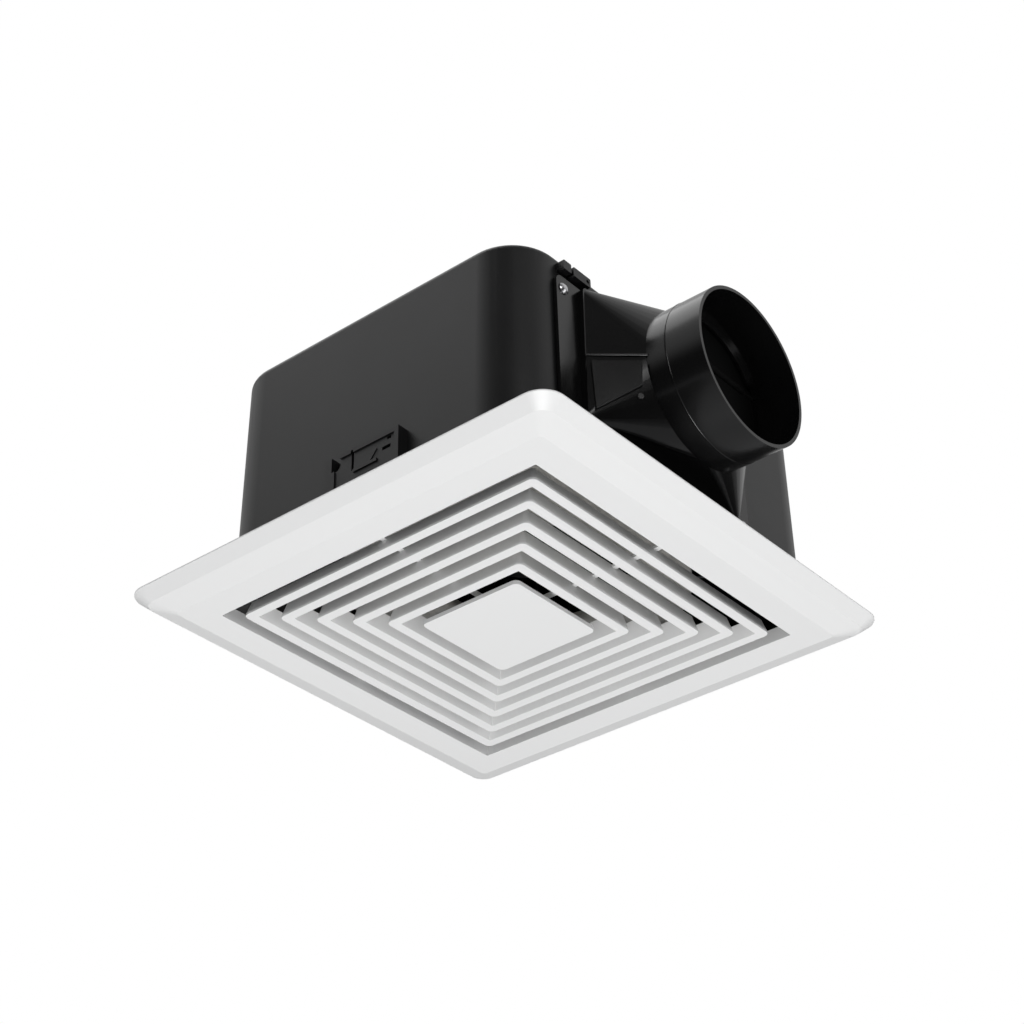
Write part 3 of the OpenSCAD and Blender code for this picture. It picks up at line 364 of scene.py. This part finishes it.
def cellular_foam(name, colour):
    """Closed-cell foam, with its small open bubbles at the cut faces."""
    material, tree, bsdf = finish_of(name)
    place = tree.nodes.new("ShaderNodeTexCoord")
    cells = tree.nodes.new("ShaderNodeTexVoronoi")
    cells.inputs["Scale"].default_value = 1100.0
    marks = place_group(tree, handling_marks, colour=(*colour, 1.0), dust_amount=0.05, roughness=0.85,
                        smear=0.1)
    tree.links.new(place.outputs["Object"], cells.inputs["Vector"])
    tree.links.new(marks.outputs["Colour"], bsdf.inputs["Base Color"])
    tree.links.new(marks.outputs["Roughness"], bsdf.inputs["Roughness"])
    add_bump(tree, bsdf, cells.outputs["Distance"], 0.0004)
    return material


FLOOR_HEIGHT = -2.4
FLOOR_HALF = 6.0
FLOOR_COLOUR = (0.82, 0.82, 0.82)
FLOOR_SEEN_COLOUR = (0.76, 0.76, 0.76, 1.0)


def add_floor():
    """Wide floor far below, of one even shade to the camera, and lit by the lamps to all else."""
    mesh = bpy.data.meshes.new("floor")
    bm = bmesh.new()
    bmesh.ops.create_grid(bm, x_segments=1, y_segments=1, size=FLOOR_HALF)
    bmesh.ops.translate(bm, vec=(0.0, 0.0, FLOOR_HEIGHT), verts=bm.verts)
    bm.to_mesh(mesh)
    bm.free()
    floor = bpy.data.objects.new("floor", mesh)
    scene.collection.objects.link(floor)
    material = moulded("pale_floor", FLOOR_COLOUR, roughness=0.7, dust=0.0, bump=0.0)
    nodes = material.node_tree.nodes
    link = material.node_tree.links.new
    rays = nodes.new("ShaderNodeLightPath")
    pale = nodes.new("ShaderNodeEmission")
    pale.inputs["Color"].default_value = FLOOR_SEEN_COLOUR
    mix = nodes.new("ShaderNodeMixShader")
    link(rays.outputs["Is Camera Ray"], mix.inputs[0])
    link(nodes["Principled BSDF"].outputs["BSDF"], mix.inputs[1])
    link(pale.outputs["Emission"], mix.inputs[2])
    link(mix.outputs["Shader"], nodes["Material Output"].inputs["Surface"])
    mesh.materials.append(material)


add_floor()

finishes = {
    "black_satin": moulded("black_satin_plastic", (0.0062, 0.0062, 0.0066), roughness=0.4,
                           grain_scale=1500.0, grain_depth=0.8, wave_depth=0.6, bump=0.00005,
                           dust=0.006, smear=0.14),
    "black_gloss": moulded("black_gloss_plastic", (0.003, 0.003, 0.0031), roughness=0.2,
                           grain_scale=2200.0, grain_depth=0.05, wave_depth=2.2, bump=0.00006,
                           dust=0.003, smear=0.12),
    "foam": cellular_foam("black_foam_seal", (0.006, 0.006, 0.006)),
    "dark_plastic": moulded("dark_fan_plastic", (0.007, 0.007, 0.008), roughness=0.5, dust=0.02),
    # The flap's colour is darkened to near black to paint the shade inside the duct, not its plastic's own
    # colour.
    "grey_plastic": moulded("flap_plastic_painted_shade", (0.0012, 0.0012, 0.0012), roughness=0.7,
                            dust=0.001, sheen_level=0.12),
    "steel_pin": worked_metal("ground_steel", (0.56, 0.57, 0.59), roughness=0.25,
                              crystal_scale=900.0, contrast=0.08, stretch=(0.1, 0.1, 4.0)),
    "zinc_sheet": worked_metal("zinc_coated_sheet", (0.66, 0.65, 0.62), roughness=0.55,
                               crystal_scale=150.0, contrast=0.2),
    "rubber_black": moulded("black_rubber", (0.012, 0.012, 0.012), roughness=0.75,
                            grain_scale=900.0, grain_depth=1.0, wave_depth=0.6, bump=0.00012),
    "core_steel": worked_metal("stacked_core_steel", (0.24, 0.25, 0.27), roughness=0.5,
                               crystal_scale=700.0, contrast=0.3, stretch=(0.1, 0.1, 6.0), bump=0.00005),
    "copper_wire": wound_wire("enamelled_copper", (0.5, 0.17, 0.06), pitch=0.0006),
    "bronze": worked_metal("sintered_bronze", (0.4, 0.26, 0.12), roughness=0.55,
                           crystal_scale=2600.0, contrast=0.35),
    "cream_plastic": moulded("cream_plastic", (0.66, 0.6, 0.46), roughness=0.45, dust=0.08),
    "brass_screw": worked_metal("brass_screw_metal", (0.62, 0.44, 0.17), roughness=0.32,
                                crystal_scale=1200.0, contrast=0.12),
    "capacitor_case": moulded("pale_case_plastic", (0.56, 0.56, 0.5), roughness=0.38, dust=0.08),
    "red_insulation": moulded("red_wire_insulation", (0.36, 0.018, 0.014), roughness=0.42, dust=0.05),
    "white_abs": moulded("white_abs_plastic", (0.78, 0.78, 0.775), roughness=0.36,
                         grain_scale=1300.0, wave_depth=0.5, bump=0.00003,
                         dust=0.02, dust_colour=(0.6, 0.6, 0.58), smear=0.12),
    "spring_wire": worked_metal("bright_spring_wire", (0.5, 0.51, 0.53), roughness=0.3,
                                crystal_scale=1400.0, contrast=0.15, stretch=(4.0, 4.0, 0.4)),
    "zinc_screw": worked_metal("bright_zinc_plate", (0.72, 0.72, 0.74), roughness=0.24,
                               crystal_scale=1500.0, contrast=0.1),
}
# Near-black colour for the flap's steel pin: painted shade of the duct's inside, not a coat on the pin.
pin_painted_shade = moulded("pin_painted_duct_shade", (0.002, 0.002, 0.002), roughness=0.6, dust=0.001,
                        sheen_level=0.2)

slots = {s["node"]: s["material_slot"] for s in frame["record"]["subparts"]}


def dress_nodes():
    """Gives each node its slot's finish. The flap's pin gets a near-black one, painted shade as dark as the
    inside of the duct.
    """
    for node, piece in frame["nodes"].items():
        finish = pin_painted_shade if node == "damper_pin" else finishes[slots[node]]
        if not piece.material_slots:
            piece.data.materials.append(finish)
        for place in piece.material_slots:
            place.material = finish


dress_nodes()


# Forms for the pieces that are made here, with their sizes in millimetres

# Points nearer than these are one, in metres, and faces that turn by less than the angle are one
SAME_POINT = 1e-6
SAME_SOLID_POINT = 2e-6
FLAT_ANGLE = 0.6


def rounded_square(bm, half, radius, z, steps):
    """Adds the outline of a square with round corners, as a closed loop of edges."""
    standing = set(bm.faces)
    made = bmesh.ops.create_circle(bm, cap_ends=True, segments=4, radius=half * math.sqrt(2.0) * MM)
    bmesh.ops.rotate(bm, cent=(0, 0, 0), matrix=Matrix.Rotation(math.pi / 4, 3, "Z"), verts=made["verts"])
    bmesh.ops.translate(bm, vec=(0.0, 0.0, z * MM), verts=made["verts"])
    bmesh.ops.bevel(bm, geom=made["verts"], offset=radius * MM, offset_type="OFFSET", affect="VERTICES",
                    segments=steps, profile=0.5, material=-1)
    face = (set(bm.faces) - standing).pop()
    loop = list(face.edges)
    bmesh.ops.delete(bm, geom=[face], context="FACES_ONLY")
    return loop


def square_moulding(bm, levels, steps):
    """Closed moulding that runs round a square, from its section's half sides, corner radii and heights."""
    loops = [rounded_square(bm, half, radius, z, steps) for half, radius, z in levels]
    for one, other in zip(loops, loops[1:] + loops[:1]):
        bmesh.ops.bridge_loops(bm, edges=one + other)


def square_plate(bm, half, radius, low, high, steps=6):
    bottom = rounded_square(bm, half, radius, low, steps)
    top = rounded_square(bm, half, radius, high, steps)
    bmesh.ops.bridge_loops(bm, edges=bottom + top)
    bmesh.ops.contextual_create(bm, geom=bottom)
    bmesh.ops.contextual_create(bm, geom=top)


def add_block(bm, low, high):
    made = bmesh.ops.create_cube(bm, size=1.0)["verts"]
    size = [(b - a) * MM for a, b in zip(low, high)]
    middle = [(a + b) / 2 * MM for a, b in zip(low, high)]
    bmesh.ops.scale(bm, vec=size, verts=made)
    bmesh.ops.translate(bm, vec=middle, verts=made)
    return made


def add_rod(bm, place, axis, radius, length, segments=32):
    """Closed cylinder from a place along an axis."""
    turn = Vector((0, 0, 1)).rotation_difference(Vector(axis)).to_matrix().to_4x4()
    at = Vector(place) * MM
    shift = Matrix.Translation(at) @ turn @ Matrix.Translation((0, 0, length * MM / 2))
    bmesh.ops.create_cone(bm, cap_ends=True, segments=segments, radius1=radius * MM,
                          radius2=radius * MM, depth=length * MM, matrix=shift)


def close_up(bm):
    """Joins the points that coincide and turns every face outward."""
    bmesh.ops.remove_doubles(bm, verts=bm.verts, dist=SAME_POINT)
    bmesh.ops.recalc_face_normals(bm, faces=bm.faces)


def finish_piece(name, bm, body, slot_name, soft_edge, segments, crease, stands_for=None):
    """Makes a mesh a piece of a body, with a small round on each edge that turns by more than its crease."""
    mesh = bpy.data.meshes.new(name)
    bm.to_mesh(mesh)
    bm.free()
    for face in mesh.polygons:
        face.use_smooth = True
    piece = bpy.data.objects.new(name, mesh)
    scene.collection.objects.link(piece)
    mesh.materials.append(finishes[slot_name])
    bevel = piece.modifiers.new("soft_edges", "BEVEL")
    bevel.width = soft_edge * MM
    bevel.segments = segments
    bevel.limit_method = "ANGLE"
    bevel.angle_limit = math.radians(crease)
    weighted = piece.modifiers.new("flat_faces", "WEIGHTED_NORMAL")
    weighted.keep_sharp = True
    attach(piece, body)
    if stands_for:
        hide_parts(stands_for)


# Grille, with heights from the ceiling

GRILLE_X = -12.4
RIM_HALF = 160.0
RIM_CORNER = 14.5
OPENING_HALF = 119.2
RIM_STEPS = 8
RIM_FACE = -11.6

# Each row is a half side, a corner radius and a height, from the ceiling over the front and back inside
RIM = [
    (RIM_HALF, RIM_CORNER, 0.0),
    (RIM_HALF, RIM_CORNER, -0.8),
    (RIM_HALF - 7.8, 9.0, -7.2),
    (RIM_HALF - 22.0, 3.0, RIM_FACE + 0.05),
    (OPENING_HALF, 0.8, RIM_FACE),
    (OPENING_HALF - 0.35, 0.8, -2.9),
    (OPENING_HALF + 2.4, 3.0, -3.1),
    (OPENING_HALF + 2.4, 3.0, -9.1),
    (RIM_HALF - 22.5, 3.0, -9.3),
    (RIM_HALF - 10.2, 8.0, -6.2),
    (RIM_HALF - 3.0, 12.1, 0.05),
]

BAR_COUNT = 5
BAR_HALF = 110.5
BAR_PITCH = 14.77
BAR_WIDTH = 6.4
BAR_CORNER = 4.0
BAR_INNER_CORNER = 0.6
BAR_SLANT = 0.02
BAR_DROP = 0.4
BAR_THICK = 1.4
BAR_STEPS = 6
BLADE_LEAN = 2.7
BLADE_TOP = -1.6
BLADE_TOP_CORNER = 2.0
BLADE_EDGE_CORNER = 0.5
BLADE_SLANT = 0.05
BLADE_DROP = 0.05

# On one side the housing's flange lies over the outer bar and a rib's end, which pass under it
FLANGE_THICK = 2.0
FLANGE_GAP = 0.3
UNDER_FLANGE = -(FLANGE_THICK + FLANGE_GAP)

PLATE_FRONT = -13.6
PLATE_BACK = -10.9
RIB_REACH = OPENING_HALF + 0.4
RIB_HALF_WIDTH = 1.75
RIB_FRONT = -4.0
BOSS_HALF = 24.0
BOSS_FRONT = -11.1
BOSS_BACK = -1.0

HOOK_Y = 130.0
HOOK_FRONT = -10.6
HOOK_BACK = 2.0
HOOK_HALF_WIDTH = 4.5
CHEEK_OFFSET = 7.625
CHEEK_HALF_THICK = 1.0
PEG_RADIUS = 3.9
PEG_HEIGHT = -2.5
PEG_HALF_LENGTH = 7.6


def add_bar(bm, i):
    """Square bar with the slanted blade behind it, counted from the outside."""
    half = BAR_HALF - i * BAR_PITCH
    inner = half - BAR_WIDTH
    front = RIM_FACE - BAR_DROP * i
    top = BLADE_TOP - BLADE_DROP * i if i else UNDER_FLANGE
    square_moulding(bm, [
        (half, BAR_CORNER, front),
        (inner, BAR_INNER_CORNER, front + BAR_SLANT),
        (inner - BLADE_LEAN, BLADE_EDGE_CORNER, top - BLADE_SLANT),
        (half - BLADE_LEAN, BLADE_TOP_CORNER, top),
        (half, BAR_CORNER, front + BAR_THICK),
    ], BAR_STEPS)


def add_rib(bm, across):
    low = (-RIB_REACH, -RIB_HALF_WIDTH, RIB_FRONT)
    high = (RIB_REACH, RIB_HALF_WIDTH, UNDER_FLANGE)
    verts = add_block(bm, low, high)
    if across:
        bmesh.ops.rotate(bm, cent=(0, 0, 0), matrix=Matrix.Rotation(math.pi / 2, 3, "Z"), verts=verts)


def add_spring_hook(bm, side):
    """Two cheeks and the peg between them, which carries a spring's coils."""
    for cheek in (-1, 1):
        y = side * HOOK_Y + cheek * CHEEK_OFFSET
        add_block(bm, (-HOOK_HALF_WIDTH, y - CHEEK_HALF_THICK, HOOK_FRONT),
                  (HOOK_HALF_WIDTH, y + CHEEK_HALF_THICK, HOOK_BACK))
    peg_start = (0.0, side * HOOK_Y - PEG_HALF_LENGTH, PEG_HEIGHT)
    add_rod(bm, peg_start, (0, 1, 0), PEG_RADIUS, 2 * PEG_HALF_LENGTH)


def add_grille():
    bm = bmesh.new()
    square_moulding(bm, RIM, RIM_STEPS)
    for i in range(BAR_COUNT):
        add_bar(bm, i)
    plate_half = BAR_HALF - BAR_COUNT * BAR_PITCH
    square_plate(bm, plate_half, BAR_CORNER, PLATE_FRONT, PLATE_BACK)
    for across in (False, True):
        add_rib(bm, across)
    square_plate(bm, BOSS_HALF, BAR_CORNER, BOSS_FRONT, BOSS_BACK)
    for side in (-1, 1):
        add_spring_hook(bm, side)
    bmesh.ops.translate(bm, vec=(GRILLE_X * MM, 0.0, 0.0), verts=bm.verts)
    close_up(bm)
    finish_piece("louvred_grille", bm, "grille", "white_abs", soft_edge=0.8, segments=3, crease=12,
                 stands_for="grille")


add_grille()


# Moulded pieces that keep the shape of their solids

def softened(node, body, soft_edge):
    """Stands in for a moulded piece, with a small round on each of its sharp edges."""
    bm = bmesh.new()
    bm.from_mesh(frame["nodes"][node].data)
    bmesh.ops.remove_doubles(bm, verts=bm.verts, dist=SAME_SOLID_POINT)
    bmesh.ops.dissolve_limit(bm, angle_limit=math.radians(FLAT_ANGLE), verts=bm.verts, edges=bm.edges)
    finish_piece("soft_" + node, bm, body, slots[node], soft_edge, segments=2, crease=35, stands_for=node)


softened("duct_adapter", "base", soft_edge=0.5)
softened("housing", "base", soft_edge=0.6)
softened("adapter_clip", "base", soft_edge=0.5)


# Small marks on the side of the duct adapter, placed in millimetres

SIDE_OUTWARD = (0.72, -0.69, -0.08)
PARTING_LINE = ((121.4, -92.2, 69.4), (147.6, -69.3, 69.4))
PARTING_RADIUS = 0.75
PAD_CORNERS = ((123.4, -89.9, 64.4), (144.4, -70.9, 64.7), (142.7, -69.5, 49.6), (124.6, -88.3, 31.9))
PAD_LIFT = 0.6
PAD_THICK = 1.7
EJECTOR_MARK = (141.0, -68.9, 44.0)
EJECTOR_RADIUS = 1.9
EJECTOR_DEPTH = 1.2


def add_pad(bm, outward):
    lift = outward * PAD_LIFT
    verts = [bmesh.ops.create_vert(bm, co=(Vector(p) + lift) * MM)["vert"][0] for p in PAD_CORNERS]
    face = bmesh.ops.contextual_create(bm, geom=verts)["faces"][0]
    raised = bmesh.ops.extrude_face_region(bm, geom=[face])["geom"]
    front = [g for g in raised if isinstance(g, bmesh.types.BMVert)]
    bmesh.ops.translate(bm, vec=outward * PAD_THICK * MM, verts=front)


def add_adapter_trims():
    """Parting line, stiffening pad and ejector mark on the side of the duct adapter."""
    bm = bmesh.new()
    start, end = (Vector(p) for p in PARTING_LINE)
    add_rod(bm, start, (end - start).normalized(), PARTING_RADIUS, (end - start).length, segments=12)
    outward = Vector(SIDE_OUTWARD).normalized()
    add_pad(bm, outward)
    add_rod(bm, EJECTOR_MARK, outward, EJECTOR_RADIUS, EJECTOR_DEPTH, segments=24)
    close_up(bm)
    finish_piece("adapter_trims", bm, "base", "black_gloss", soft_edge=0.4, segments=3, crease=30)


add_adapter_trims()
